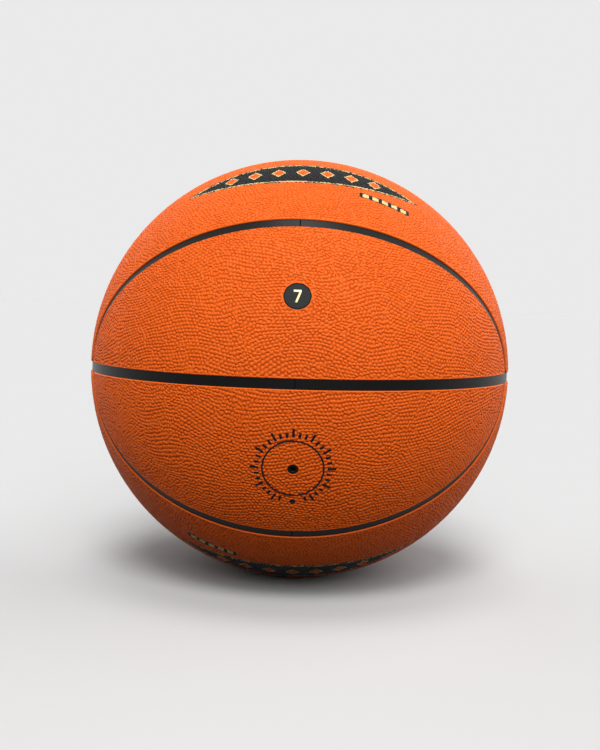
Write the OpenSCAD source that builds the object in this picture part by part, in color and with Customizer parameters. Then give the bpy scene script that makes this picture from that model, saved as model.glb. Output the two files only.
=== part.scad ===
// Basketball, size 7, with eight panels.
// Origin: the ball's centre. +Z is up, and the level channel lies in the plane Z = 0.
// The pole that the two looped channels go round is on the Y axis, and the valve is on the -Y side.
// Lengths are in millimetres and angles in degrees.

/* [Ball] */
// Outside diameter of the inflated ball
ball_d = 240; // [120:1:260]

/* [Layers] */
// Thickness of the pebbled composite cover
cover_t = 1.3; // [0.8:0.1:2]
// Thickness of the foam pad under each cover panel
pad_t = 1.5; // [0.8:0.1:3]
// Thickness of the rubber carcass under the pads
carcass_t = 1.6; // [0.8:0.1:3]
// Thickness of the nylon winding
winding_t = 0.7; // [0.3:0.1:2]
// Thickness of the butyl bladder
bladder_t = 0.8; // [0.4:0.1:2]

/* [Channels] */
// Width of a channel between the walls of two panels
channel_w = 5.2; // [3:0.1:9]
// Depth of a channel's floor below the cover
channel_depth = 0.8; // [0.6:0.1:2.2]
// Width of the bevel along each panel's rim
rim_w = 0.8; // [0.4:0.1:1.6]
// Radius of the round corners of a panel
corner_r = 3; // [2:0.5:8]
// Angle from the pole to the looped channel, measured along the level channel
loop_long = 72.5; // [66:0.5:77]
// Angle from the pole to the looped channel, measured upwards
loop_short = 41.4; // [34:0.2:50]

/* [Valve] */
// Angle of the valve below the level channel
valve_lat = 20.7; // [14:0.1:28]
// Diameter of the valve's stem, and of the hole through the layers
valve_d = 5.6; // [5:0.1:8]
// Depth of the stem's end below the cover
valve_drop = 0.5; // [0.4:0.1:2]
// Reach of the valve inside the bladder
valve_reach = 9; // [5:0.5:14]
// Diameter of the flange that is bonded inside the bladder
flange_d = 24; // [12:1:40]
// Thickness of the flange
flange_t = 1.2; // [0.6:0.1:2]
// Diameter of the plug that seals on the needle
plug_d = 3.6; // [3:0.1:4.4]
// Diameter of the ring that locks the plug in the stem
lock_d = 4.4; // [4:0.1:4.8]
// Height of that locking ring
lock_h = 1.4; // [0.8:0.1:2]
// Rubber left under the plug
stem_floor = 1.6; // [0.8:0.1:3]
// Diameter of the needle's hole
needle_d = 2.2; // [1.8:0.1:2.6]
// Rubber under the needle's hole, which holds the closed slit
slit_h = 2; // [1:0.1:4]

/* [Size badge] */
// Angle of the badge above the level channel
badge_lat = 20.7; // [14:0.1:28]
// Diameter of the badge
badge_d = 13.8; // [10:0.1:20]
// Thickness of the badge
badge_t = 0.35; // [0.2:0.05:0.6]
// Depth of the badge's face below the cover
badge_drop = 0.15; // [0.1:0.05:0.3]
// Height of the numeral on the badge
figure_h = 6.6; // [4:0.1:9]
// Width of the numeral
figure_w = 4; // [3:0.1:6]
// Width of the numeral's strokes
figure_stroke = 1.3; // [0.8:0.1:1.8]
// How far the numeral stands up from the badge
figure_rise = 0.1; // [0.05:0.05:0.1]

/* [Hidden] */

$fn = 128;

// Radii of the layers, from the outside in
ball_r = ball_d / 2;
pad_r = ball_r - cover_t;
carcass_r = pad_r - pad_t;
winding_r = carcass_r - carcass_t;
bladder_r = winding_r - winding_t;
air_r = bladder_r - bladder_t;
// Radius of the channels' floor, which is the top of the carcass's ribs
floor_r = ball_r - channel_depth;
// How far a cut goes past what it cuts
over = 1;
reach = ball_r + over;
// Half of a channel
half_w = channel_w / 2;
// A corner's cylinder crosses the walls at an angle, because its centre lies nearer than its radius
corner_share = 0.9;

// Turns that carry the front upper quarter to each of the four quarters
FRONT_UPPER_ANGLES = [0, 0, 0];
FRONT_LOWER_ANGLES = [0, 180, 0];
BACK_UPPER_ANGLES = [0, 0, 180];
BACK_LOWER_ANGLES = [180, 0, 0];
QUARTER_ANGLES = [FRONT_UPPER_ANGLES, FRONT_LOWER_ANGLES, BACK_UPPER_ANGLES, BACK_LOWER_ANGLES];

cover_colour = "#d9561c";
pad_colour = "#e6dfce";
rubber_colour = "#1d1d1f";
winding_colour = "#cfc6ae";
butyl_colour = "#3a3a3d";
badge_colour = "#2c2a2b";

// The angle, seen from the ball's centre, of a length on the cover
function turn(length) = length / ball_r * 180 / PI;

// Half width, towards +X, of the tube along Z that meets the ball on the loop at these two angles
function tube_x(long, short) =
    ball_r * sin(long) / sqrt(1 - pow(cos(long) / cos(short), 2));

module shell(outer, inner) {
    difference() {
        sphere(r = outer);
        sphere(r = inner);
    }
}

// The cone from the ball's centre around the -Y pole, with its two half angles
module loop_cone(long, short) {
    rotate([90, 0, 0])
        scale([tan(long), tan(short), 1])
            cylinder(h = reach, r1 = 0, r2 = reach);
}

// The quarter of space above the level channel and in front of the upright one
module quarter(inset, front) {
    wall = half_w + inset;
    translate([-reach, -reach, wall])
        cube([2 * reach, reach - front, reach]);
}

// What rounds the four panel corners round a crossing, which points towards +X
module crossing(inset) {
    centre = half_w + corner_r * corner_share;
    rotate([0, 90, 0])
        linear_extrude(height = reach)
            difference() {
                square(2 * centre, center = true);
                for (x = [-centre, centre], y = [-centre, centre])
                    translate([x, y])
                        circle(r = corner_r - inset);
            }
}

// The crossing of the level channel with a loop, on the right and on the left
module loop_crossings(inset) {
    for (side = [-90 + loop_long, -90 - loop_long])
        rotate([0, 0, side])
            crossing(inset);
}

// The crossing of the level channel with the upright one
module upright_crossings(inset) {
    for (side = [0, 180])
        rotate([0, 0, side])
            crossing(inset);
}

// All of the room that the front upper panel takes, drawn in from its walls by the inset
module front_room(inset) {
    lean = turn(half_w + inset);
    difference() {
        intersection() {
            loop_cone(loop_long - lean, loop_short - lean);
            quarter(inset, 0);
        }
        loop_crossings(inset);
    }
}

// The same for the middle panel, between the loop and the upright channel
module middle_room(inset) {
    lean = turn(half_w + inset);
    difference() {
        quarter(inset, half_w + inset);
        loop_cone(loop_long + lean, loop_short + lean);
        loop_crossings(inset);
        upright_crossings(inset);
    }
}

// The ring that bevels both rims of the level channel
module level_bevel() {
    rotate_extrude()
        polygon([
            [ball_r - rim_w, -half_w],
            [ball_r + over, -half_w - rim_w - over],
            [ball_r + over, half_w + rim_w + over],
            [ball_r - rim_w, half_w]
        ]);
}

// The tube along Y that bevels the front panels' rim along the loop
module front_bevel() {
    lean = turn(half_w + rim_w);
    rotate([90, 0, 0])
        scale([ball_r * sin(loop_long - lean), ball_r * sin(loop_short - lean), reach])
            cylinder(h = 1, r = 1);
}

// The tube along Z that bevels the middle panels' rim along the loop
module middle_bevel() {
    lean = turn(half_w + rim_w);
    long = loop_long + lean;
    short = loop_short + lean;
    scale([tube_x(long, short), ball_r * cos(short), reach])
        cylinder(h = 1, r = 1);
}

// The room under a cover that its pad fills
module pad_shell() {
    shell(pad_r, carcass_r);
}

module front_pad(inset) {
    intersection() {
        pad_shell();
        front_room(inset);
    }
}

module middle_pad(inset) {
    intersection() {
        pad_shell();
        middle_room(inset);
    }
}

// A cover panel over its pad: its edge is turned down to the carcass all round
module front_cover() {
    difference() {
        intersection() {
            shell(ball_r, carcass_r);
            front_room(0);
            front_bevel();
        }
        level_bevel();
        front_pad(cover_t);
    }
}

module middle_cover() {
    difference() {
        intersection() {
            shell(ball_r, carcass_r);
            middle_room(0);
            middle_bevel();
        }
        level_bevel();
        rotate([90, 0, 0])
            level_bevel();
        middle_pad(cover_t);
    }
}

// Points local +Z out of the ball at the valve, or at the badge
module at_valve() {
    rotate([90 + valve_lat, 0, 0])
        children();
}

module at_badge() {
    rotate([90 - badge_lat, 0, 0])
        children();
}

// The hole that the valve's stem fills
module stem_hole() {
    at_valve()
        cylinder(h = reach, d = valve_d);
}

module badge_pocket() {
    at_badge()
        difference() {
            cylinder(h = reach, d = badge_d);
            sphere(r = ball_r - badge_drop - badge_t);
        }
}

module cover_front_upper() {
    color(cover_colour)
        difference() {
            front_cover();
            badge_pocket();
        }
}

module cover_front_lower() {
    color(cover_colour)
        difference() {
            rotate(FRONT_LOWER_ANGLES)
                front_cover();
            stem_hole();
        }
}

module cover_back(quarter_turn) {
    color(cover_colour)
        rotate(quarter_turn)
            front_cover();
}

module cover_middle(quarter_turn) {
    color(cover_colour)
        rotate(quarter_turn)
            middle_cover();
}

module pad_front_lower() {
    color(pad_colour)
        difference() {
            rotate(FRONT_LOWER_ANGLES)
                front_pad(cover_t);
            stem_hole();
        }
}

module pad_whole(quarter_turn) {
    color(pad_colour)
        rotate(quarter_turn)
            front_pad(cover_t);
}

module pad_middle(quarter_turn) {
    color(pad_colour)
        rotate(quarter_turn)
            middle_pad(cover_t);
}

// The rubber carcass, with a pocket for each panel. The ribs left between them are the channels' floor
module carcass() {
    color(rubber_colour)
        difference() {
            shell(floor_r, winding_r);
            difference() {
                for (quarter_turn = QUARTER_ANGLES)
                    rotate(quarter_turn) {
                        front_room(0);
                        middle_room(0);
                    }
                sphere(r = carcass_r);
            }
            stem_hole();
        }
}

module winding() {
    color(winding_colour)
        difference() {
            shell(winding_r, bladder_r);
            stem_hole();
        }
}

module bladder() {
    color(butyl_colour)
        difference() {
            shell(bladder_r, air_r);
            stem_hole();
        }
}

// Heights along the valve's axis, from the ball's centre
stem_top = ball_r - valve_drop;
stem_foot = air_r - valve_reach;
plug_foot = stem_foot + stem_floor;
lock_foot = plug_foot + stem_floor;

// The plug's outside, which is also the room for it in the stem
module plug_body() {
    translate([0, 0, plug_foot])
        cylinder(h = stem_top - plug_foot, d = plug_d);
    translate([0, 0, lock_foot])
        cylinder(h = lock_h, d = lock_d);
}

module valve_stem() {
    color(rubber_colour)
        at_valve()
            difference() {
                union() {
                    translate([0, 0, stem_foot])
                        cylinder(h = stem_top - stem_foot, d = valve_d);
                    intersection() {
                        shell(air_r, air_r - flange_t);
                        cylinder(h = reach, d = flange_d);
                    }
                }
                plug_body();
            }
}

module valve_plug() {
    color(rubber_colour)
        at_valve()
            difference() {
                plug_body();
                translate([0, 0, plug_foot + slit_h])
                    cylinder(h = reach, d = needle_d);
            }
}

// The plain figure that gives the ball's size, drawn about its own middle
module figure_outline() {
    x = figure_w / 2;
    y = figure_h / 2;
    foot = -figure_stroke;
    polygon([
        [-x, y],
        [x, y],
        [x, y - figure_stroke],
        [foot + figure_stroke, -y],
        [foot, -y],
        [x - figure_stroke, y - figure_stroke],
        [-x, y - figure_stroke]
    ]);
}

module size_badge() {
    face_r = ball_r - badge_drop;
    color(badge_colour)
        at_badge()
            intersection() {
                shell(face_r + figure_rise, face_r - badge_t);
                union() {
                    intersection() {
                        cylinder(h = reach, d = badge_d);
                        sphere(r = face_r);
                    }
                    linear_extrude(height = reach)
                        figure_outline();
                }
            }
}

cover_front_upper();
cover_front_lower();
cover_back(BACK_UPPER_ANGLES);  // cover_back_upper
cover_back(BACK_LOWER_ANGLES);  // cover_back_lower
cover_middle(FRONT_UPPER_ANGLES);  // cover_middle_front_upper
cover_middle(FRONT_LOWER_ANGLES);  // cover_middle_front_lower
cover_middle(BACK_UPPER_ANGLES);  // cover_middle_back_upper
cover_middle(BACK_LOWER_ANGLES);  // cover_middle_back_lower
pad_whole(FRONT_UPPER_ANGLES);  // pad_front_upper
pad_front_lower();
pad_whole(BACK_UPPER_ANGLES);  // pad_back_upper
pad_whole(BACK_LOWER_ANGLES);  // pad_back_lower
pad_middle(FRONT_UPPER_ANGLES);  // pad_middle_front_upper
pad_middle(FRONT_LOWER_ANGLES);  // pad_middle_front_lower
pad_middle(BACK_UPPER_ANGLES);  // pad_middle_back_upper
pad_middle(BACK_LOWER_ANGLES);  // pad_middle_back_lower
carcass();
winding();
bladder();
valve_stem();
valve_plug();
size_badge();
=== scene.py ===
"""Basketball, size 7: eight pebbled cover panels over a rubber carcass, with a valve and a badge.

Lengths in the property groups are in millimetres and angles in degrees. The ball's meshes are
worked out in millimetres, in the frame of the CAD model, and are scaled to metres when they become
objects.
"""

import math

import bpy
import numpy as np
from bpy.props import FloatProperty, IntProperty, PointerProperty, StringProperty
from mathutils import Matrix, Vector, geometry


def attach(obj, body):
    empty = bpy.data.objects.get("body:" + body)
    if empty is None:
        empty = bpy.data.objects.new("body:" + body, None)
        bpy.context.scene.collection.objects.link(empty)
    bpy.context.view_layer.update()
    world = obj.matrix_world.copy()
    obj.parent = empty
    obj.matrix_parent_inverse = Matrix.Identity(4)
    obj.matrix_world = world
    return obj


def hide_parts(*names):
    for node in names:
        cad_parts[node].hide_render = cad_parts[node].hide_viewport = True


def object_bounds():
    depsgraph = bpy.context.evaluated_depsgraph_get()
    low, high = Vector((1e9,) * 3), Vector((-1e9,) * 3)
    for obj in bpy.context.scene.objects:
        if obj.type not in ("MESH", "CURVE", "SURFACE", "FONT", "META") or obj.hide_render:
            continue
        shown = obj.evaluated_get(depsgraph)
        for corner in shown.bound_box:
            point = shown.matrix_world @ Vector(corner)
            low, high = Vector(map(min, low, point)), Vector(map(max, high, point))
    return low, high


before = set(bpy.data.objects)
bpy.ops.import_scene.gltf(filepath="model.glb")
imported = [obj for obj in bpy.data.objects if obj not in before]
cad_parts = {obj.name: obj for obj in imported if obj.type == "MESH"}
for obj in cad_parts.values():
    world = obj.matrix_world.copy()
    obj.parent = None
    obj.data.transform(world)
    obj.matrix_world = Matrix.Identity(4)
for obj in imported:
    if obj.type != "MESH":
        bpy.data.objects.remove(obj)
cad_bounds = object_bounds()

bl_info = {
    "name": "Basketball",
    "version": (1, 0, 0),
    "blender": (4, 5, 0),
    "location": "3D View > Sidebar > Basketball",
    "description": "Pebbled cover panels, foam pads, valve and size badge for a wound basketball",
    "category": "Object",
}

BODY = "root"
MM = 0.001
MATH = "ShaderNodeMath"
VECTOR_MATH = "ShaderNodeVectorMath"
MIX = "ShaderNodeMix"

# Signs of x, y and z that turn the front upper quarter of the ball to each quarter
QUARTERS = {
    "front_upper": (1, 1, 1),
    "front_lower": (-1, 1, -1),
    "back_upper": (-1, -1, 1),
    "back_lower": (1, -1, -1),
}


def radii_of(node):
    """The least and largest distance, in millimetres, of a CAD node's points from the origin."""
    places = np.empty(len(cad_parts[node].data.vertices) * 3, np.float32)
    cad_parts[node].data.vertices.foreach_get("co", places)
    radii = np.linalg.norm(places.reshape(-1, 3), axis=1) / MM
    return round(float(radii.min()), 1), round(float(radii.max()), 1)


BALL_R = radii_of("cover_front_upper")[1]
PAD_R = radii_of("pad_back_upper")[1]
WINDING_R = radii_of("winding")[1]
BLADDER_IN_R, BLADDER_R = radii_of("bladder")
STEM_TOP_R = radii_of("valve_stem")[1]


def length(name, description, default, low, high):
    """A property for a length in millimetres."""
    return FloatProperty(
        name=name, description=description + ", in millimetres", default=default, min=low, max=high
    )


def angle(name, description, default, low, high):
    """A property for an angle in degrees."""
    return FloatProperty(
        name=name, description=description + ", in degrees", default=default, min=low, max=high
    )


def colour(name, description, default):
    """A property for an sRGB colour that is written as six hex digits."""
    return StringProperty(name=name, description=description, default=default, maxlen=7)


class BallSizes(bpy.types.PropertyGroup):
    """The panels' outlines and the layers under them"""

    ball_r: length("Ball radius", "Radius of the inflated ball", BALL_R, 50, 150)
    channel_w: length("Channel width", "Width of a channel between two panels", 5.2, 3, 9)
    corner_r: length("Panel corner", "Radius of a panel's round corners", 3, 1, 8)
    cover_t: length("Cover thickness", "Thickness of the pebbled cover", BALL_R - PAD_R, 0.8, 2)
    pad_t: length("Pad thickness", "Thickness of the foam pad", 1.5, 0.8, 3)
    loop_long: angle(
        "Loop, sideways", "From the pole to the loop, along the level channel", 72.5, 66, 77
    )
    loop_short: angle("Loop, upwards", "From the pole to the loop, measured upwards", 41.4, 34, 50)


class PebbleLook(bpy.types.PropertyGroup):
    """The embossed grain of the cover"""

    pitch: length("Pitch", "Distance between two pebbles of a row", 2.05, 1.2, 4)
    row: length("Row pitch", "Distance between two rows of pebbles", 1.78, 1, 4)
    height: length("Height", "Height of a pebble over the deepest pits", 0.55, 0.05, 0.7)
    swirl: length("Swirl", "How far the rows of pebbles wander", 3.2, 0, 6)
    rim_r: length("Rim rounding", "Radius of the rounding along a panel's rim", 0.8, 0.2, 1.5)
    hole_rim_r: length("Hole rounding", "Radius of the rounding round a hole", 0.3, 0.1, 1)
    seed: IntProperty(
        name="Seed", description="Start of the pebbles' random places", default=7, min=0
    )


class CoverLook(bpy.types.PropertyGroup):
    """Colours of the cover and of what is printed on it"""

    orange: colour("Cover", "Colour of the pebbles' tops", "#EC6519")
    # The valley colour is painted shade: darker than the tops, for the shade that falls between the
    # pebbles
    valley: colour("Valley", "Colour between the pebbles", "#C4490E")
    ink: colour("Ink", "Colour of the dark print", "#141214")
    foil: colour("Foil", "Colour of the pale print", "#DCC98C")


class PrintSizes(bpy.types.PropertyGroup):
    """The printed ring, dial and bands"""

    ring_r: length("Ring radius", "Radius of the ring round the valve", 15.2, 8, 20)
    ring_w: length("Ring line", "Width of the ring's line", 0.9, 0.3, 2)
    tick_start: length("Tick start", "Radius at which the ticks start", 17, 10, 24)
    tick_short: length("Short tick", "Length of a short tick", 2.6, 0.5, 5)
    tick_long: length("Long tick", "Length of a long tick", 4.4, 0.5, 6)
    tick_w: length("Tick width", "Width of a tick", 1.3, 0.3, 2)
    band_half_l: length("Band half length", "From the band's middle to its tip", 66, 30, 80)
    band_half_w: length("Band half width", "Half of the band's width at its middle", 13.5, 5, 20)
    band_lat: angle("Band latitude", "Angle of the band's middle line from the pole", 64.5, 55, 75)
    edge_line: length("Band edge", "Width of the pale line along the band's edge", 0.8, 0.3, 2)
    diamond_pitch: length("Diamond pitch", "Distance between two diamonds", 13, 6, 20)


class ValveSizes(bpy.types.PropertyGroup):
    """The valve's stem and plug"""

    lat: angle("Valve latitude", "Angle of the valve below the level channel", 20.7, 14, 28)
    stem_r: length("Stem radius", "Radius of the valve's stem", 2.8, 2.5, 4)
    plug_r: length("Plug radius", "Radius of the plug", 1.8, 1.5, 2.2)
    lock_r: length("Lock radius", "Radius of the ring that locks the plug", 2.2, 2, 2.4)
    lock_h: length("Lock height", "Height of the locking ring", 1.4, 0.8, 2)
    needle_r: length("Needle hole", "Radius of the needle's hole", 1.1, 0.9, 1.3)
    reach: length("Reach", "Reach of the valve inside the bladder", 9, 5, 14)
    flange_r: length("Flange radius", "Radius of the flange inside the bladder", 12, 6, 20)
    flange_t: length("Flange thickness", "Thickness of the flange", 1.2, 0.6, 2)
    floor_t: length("Floor thickness", "Rubber left under the plug", 1.6, 0.8, 3)
    slit_h: length("Slit height", "Rubber under the needle's hole", 2, 1, 4)


class BadgeSizes(bpy.types.PropertyGroup):
    """The size badge and its numeral"""

    lat: angle("Badge latitude", "Angle of the badge above the level channel", 20.7, 14, 28)
    disc_r: length("Badge radius", "Radius of the badge", 6.9, 5, 10)
    thickness: length("Badge thickness", "Thickness of the badge", 0.35, 0.2, 0.6)
    drop: length("Badge drop", "Depth of the badge's face below the cover", 0.15, 0.1, 0.3)
    rise: length("Numeral rise", "How far the numeral stands up", 0.1, 0.05, 0.1)
    figure_h: length("Numeral height", "Height of the numeral", 6.6, 4, 9)
    figure_w: length("Numeral width", "Width of the numeral", 4, 3, 6)
    stroke: length("Stroke", "Width of the numeral's strokes", 1.2, 0.8, 1.8)
    # The dark line round the badge is painted shade, for the shadow in the gap between the badge
    # and its pocket
    painted_gap_shade: length("Border", "Width of the dark line round the badge", 0.55, 0.2, 1)
    disc: colour("Badge", "Colour of the badge", "#282929")
    figure: colour("Numeral", "Colour of the numeral", "#E0D194")


class StageLook(bpy.types.PropertyGroup):
    """Floor, backdrop, lights and camera"""

    pale: colour("Backdrop", "Colour of the floor and the backdrop", "#EAEAEA")
    distance: FloatProperty(
        name="Camera distance",
        description="From the ball's centre, in ball radii",
        default=5.57,
        min=2,
    )
    pitch: angle("Pitch", "How far the camera looks down on the ball", 3.73, -90, 90)
    roll: angle("Roll", "Roll of the camera", 1.57, -90, 90)
    yaw: angle("Yaw", "How far the ball is turned about its upright axis", -1.01, -180, 180)


class BasketballSettings(bpy.types.PropertyGroup):
    """All of the basketball's settings"""

    sizes: PointerProperty(type=BallSizes)
    pebbles: PointerProperty(type=PebbleLook)
    cover: PointerProperty(type=CoverLook)
    prints: PointerProperty(type=PrintSizes)
    valve: PointerProperty(type=ValveSizes)
    badge: PointerProperty(type=BadgeSizes)
    stage: PointerProperty(type=StageLook)


# Directions, plans and shells: how a panel's shape is worked out

# Steps by which a place between two bounds is narrowed down
HALVINGS = 34
# Directions in which a panel's outline is looked for from its middle
RAYS = 3000
# Largest angle, in radians, at which the distance from a loop is still worked out
LEAN_MAX = math.radians(16)
# Smallest half angle, in radians, of a cone round the pole
CONE_MIN = math.radians(1)
# How far above the level channel, in degrees, the flat maps of the two kinds of panel are centred
MIDDLE_AXIS = 64
POLE_AXIS = 20
# Distance between two points of an outline, in millimetres
OUTLINE_STEP = 0.7
# Least number of points round a hole
HOLE_STEPS = 32
# Steps in which a ring finds its inset
INSET_ROUNDS = 3
# Two points that are nearer than this many millimetres are one
SAME_PLACE = 1e-5


def unit(places):
    """The places at distance one from the ball's centre."""
    return places / np.linalg.norm(places, axis=-1, keepdims=True)


def direction(lat):
    """The direction that lies this many degrees above the level channel, at the front."""
    return np.array([0, -math.cos(math.radians(lat)), math.sin(math.radians(lat))])


def rounded_min(first, second, radius):
    """The lesser of two distances from walls, with the corner between the walls rounded."""
    corner = radius - np.hypot(radius - first, radius - second)
    return np.where((first < radius) & (second < radius), corner, np.minimum(first, second))


def smooth_step(x):
    """Rises smoothly from 0 to 1 as x does."""
    x = np.clip(x, 0, 1)
    return x * x * (3 - 2 * x)


def rounding_drop(gap, radius):
    """How far a rounded edge lies below its surface, at a gap from the wall."""
    return radius - np.sqrt(radius**2 - np.clip(radius - gap, 0, radius) ** 2)


def ring_edges(numbers):
    """The edges of a closed ring of points."""
    return np.column_stack((numbers, np.roll(numbers, -1)))


def flat_triangles(flat, edges):
    """Triangles between flat points, which turn anticlockwise and fill what the edges enclose."""
    pairs = [(int(a), int(b)) for a, b in edges]
    # Kind 1 keeps what the edges enclose, and kind 0 everything up to the hull
    kind = 1 if pairs else 0
    made = geometry.delaunay_2d_cdt([Vector(p) for p in flat], pairs, [], kind, SAME_PLACE)
    _, _, triangles, origins, *_ = made
    source = np.array([group[0] for group in origins])
    faces = source[np.array(triangles)]
    a, b, c = (flat[faces[:, k]] for k in range(3))
    turn = (b[:, 0] - a[:, 0]) * (c[:, 1] - a[:, 1]) - (b[:, 1] - a[:, 1]) * (c[:, 0] - a[:, 0])
    faces[turn < 0] = faces[turn < 0][:, ::-1]
    return faces[np.abs(turn) > SAME_PLACE**2]


class Plan:
    """The outline of one panel of the front upper quarter, and a flat map of it."""

    def __init__(self, sizes, middle, hole_lat=0, hole_r=0):
        self.sizes = sizes
        self.middle = middle
        self.hole_r = hole_r
        self.hole = direction(hole_lat)
        self.axis = direction(MIDDLE_AXIS if middle else POLE_AXIS)
        self.right = np.array([1.0, 0, 0])
        self.up = np.cross(self.axis, self.right)
        self.edge = self.outline()

    def loop_lean(self, n):
        """How far, in radians, each direction lies outside the looped channel's middle line."""
        long, short = math.radians(self.sizes.loop_long), math.radians(self.sizes.loop_short)
        x, y, z = (n**2).T
        low = np.full(len(n), CONE_MIN - short)
        high = np.full(len(n), LEAN_MAX)
        for _ in range(HALVINGS):
            lean = (low + high) / 2
            outside = x / np.tan(long + lean) ** 2 + z / np.tan(short + lean) ** 2 > y
            low, high = np.where(outside, lean, low), np.where(outside, high, lean)
        return np.where(n[:, 1] < 0, low, LEAN_MAX)

    def wall_gap(self, n):
        """How far, in millimetres, each direction lies inside the nearest of the panel's walls."""
        s = self.sizes
        half = s.channel_w / 2
        level = n[:, 2] * s.ball_r - half
        loop = self.loop_lean(n) * s.ball_r
        if not self.middle:
            return rounded_min(-loop - half, level, s.corner_r)
        upright = rounded_min(-n[:, 1] * s.ball_r - half, level, s.corner_r)
        return np.minimum(rounded_min(loop - half, level, s.corner_r), upright)

    def hole_gap(self, n):
        """How far, in millimetres, each direction lies outside the panel's hole."""
        if not self.hole_r:
            return np.full(len(n), self.sizes.ball_r)
        return np.arccos(np.clip(n @ self.hole, -1, 1)) * self.sizes.ball_r - self.hole_r

    def flatten(self, n):
        """The directions on a plane that keeps angles and has the panel's middle as its origin."""
        across = np.column_stack((n @ self.right, n @ self.up))
        return 2 * self.sizes.ball_r * across / (1 + n @ self.axis)[:, None]

    def outline(self):
        """Directions along the panel's walls, all the way round."""
        turns = np.linspace(0, 2 * math.pi, RAYS, endpoint=False)[:, None]
        rays = np.cos(turns) * self.right + np.sin(turns) * self.up
        low, high = np.zeros((RAYS, 1)), np.full((RAYS, 1), math.pi / 2)
        for _ in range(HALVINGS):
            reach = (low + high) / 2
            within = self.wall_gap(np.cos(reach) * self.axis + np.sin(reach) * rays)[:, None] > 0
            low, high = np.where(within, reach, low), np.where(within, high, reach)
        found = np.cos(low) * self.axis + np.sin(low) * rays
        closed = np.vstack((found, found[:1]))
        steps = np.linalg.norm(np.diff(closed, axis=0), axis=1) * self.sizes.ball_r
        along = np.concatenate(([0], np.cumsum(steps)))
        places = np.linspace(0, along[-1], round(along[-1] / OUTLINE_STEP), endpoint=False)
        return unit(np.column_stack([np.interp(places, along, closed[:, k]) for k in range(3)]))

    def ring(self, inset):
        """Directions round the panel, drawn in from its walls by the inset."""
        along = np.roll(self.edge, -1, axis=0) - np.roll(self.edge, 1, axis=0)
        inwards = np.cross(self.edge, unit(along))
        n = self.edge
        for _ in range(INSET_ROUNDS):
            n = unit(n + inwards * (inset - self.wall_gap(n))[:, None] / self.sizes.ball_r)
        return n

    def hole_ring(self, extra):
        """Directions round the hole, this much outside its wall."""
        lean = (self.hole_r + extra) / self.sizes.ball_r
        count = max(HOLE_STEPS, round(2 * math.pi * self.hole_r / OUTLINE_STEP))
        turns = np.linspace(0, 2 * math.pi, count, endpoint=False)[:, None]
        rays = np.cos(turns) * self.right + np.sin(turns) * np.cross(self.hole, self.right)
        return math.cos(lean) * self.hole + math.sin(lean) * rays


class Shell:
    """The points and triangles of one closed piece. Each point is a direction and a radius."""

    def __init__(self, plan):
        self.plan = plan
        self.directions = np.empty((0, 3))
        self.radii = np.empty(0)
        self.relief = np.empty(0)
        self.under = np.empty(0, bool)
        self.faces = np.empty((0, 3), int)

    def add(self, directions, radii, relief=0.0, under=False):
        """Adds points and returns their numbers."""
        count = len(directions)
        self.directions = np.vstack((self.directions, directions))
        self.radii = np.concatenate((self.radii, np.broadcast_to(radii, count)))
        self.relief = np.concatenate((self.relief, np.broadcast_to(relief, count)))
        self.under = np.concatenate((self.under, np.full(count, under)))
        return np.arange(len(self.radii) - count, len(self.radii))

    def fill(self, rings, others=(), edges=(), downward=False, hole=False):
        """Fills the outermost ring with triangles between all the points, save for an open hole."""
        numbers = np.concatenate([*rings, *others])
        edges = np.vstack([ring_edges(ring) for ring in rings] + list(edges))
        spot = np.full(len(self.radii), -1)
        spot[numbers] = np.arange(len(numbers))
        faces = numbers[flat_triangles(self.plan.flatten(self.directions[numbers]), spot[edges])]
        if hole:
            faces = faces[self.plan.hole_gap(unit(self.directions[faces].mean(axis=1))) > 0]
        self.faces = np.vstack((self.faces, faces[:, ::-1] if downward else faces))

    def wall(self, upper, lower, outward=True):
        """Joins two rings, which have equally many points, by a wall."""
        a, b, c, d = upper, np.roll(upper, -1), lower, np.roll(lower, -1)
        faces = np.vstack((np.column_stack((a, c, d)), np.column_stack((a, d, b))))
        self.faces = np.vstack((self.faces, faces if outward else faces[:, ::-1]))

    def places(self):
        """The points in millimetres."""
        return self.directions * self.radii[:, None]


# Share of the flat map's height that the pebbled side gets; the plain underside gets the rest
TOP_SHARE = 0.8
# Margin round each side's map, as a share of its width and of its height
MAP_MARGIN = 0.01


def flat_map(shell):
    """One place in the unit square for each point: the top above, the underside below it."""
    flat = shell.plan.flatten(shell.directions)
    flat = (flat - flat.min(axis=0)) / (flat.max(axis=0) - flat.min(axis=0))
    flat = MAP_MARGIN + flat * (1 - 2 * MAP_MARGIN)
    rest = 1 - TOP_SHARE
    flat[:, 1] = np.where(shell.under, flat[:, 1] * rest, rest + flat[:, 1] * TOP_SHARE)
    return flat


def new_object(name, places, faces, material):
    """A smooth-shaded mesh object from points in millimetres, riding on the ball."""
    mesh = bpy.data.meshes.new(name)
    mesh.from_pydata(places * MM, [], faces, shade_flat=False)
    mesh.materials.append(material)
    made = bpy.data.objects.new(name, mesh)
    bpy.context.scene.collection.objects.link(made)
    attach(made, BODY)
    return made


def object_from_shell(name, shell, quarter, material):
    """The shell as an object, turned to its quarter of the ball."""
    made = new_object(name, shell.places() * np.array(QUARTERS[quarter]), shell.faces, material)
    relief = made.data.attributes.new("relief", "FLOAT", "POINT")
    relief.data.foreach_set("value", shell.relief)
    layer = made.data.uv_layers.new(name="OFBake")
    layer.data.foreach_set("uv", flat_map(shell)[shell.faces.ravel()].ravel())
    return made


# The pebbled cover

# Number, shortest and longest length in millimetres of the waves that the rows of pebbles follow
WAVES = 14
WAVE_SHORT = 26
WAVE_LONG = 70
# Disorder of the pebbles' places, as a share of their pitch, and of their heights
PLACE_DISORDER_SHARE = 0.15
HEIGHT_DISORDER_SHARE = 0.1
# Height, as a share of a pebble's, of the highest pits between pebbles, and how rare high ones are
PIT_SHARE = 0.3
PIT_POWER = 2
# Share of the neighbours in a row, and of those in two rows, that grow together, and the height
# of the bridge between them, as a share of the lower one's
LINKS_ALONG = 0.72
LINKS_ACROSS = 0.22
BRIDGE_SHARE = 0.85
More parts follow.
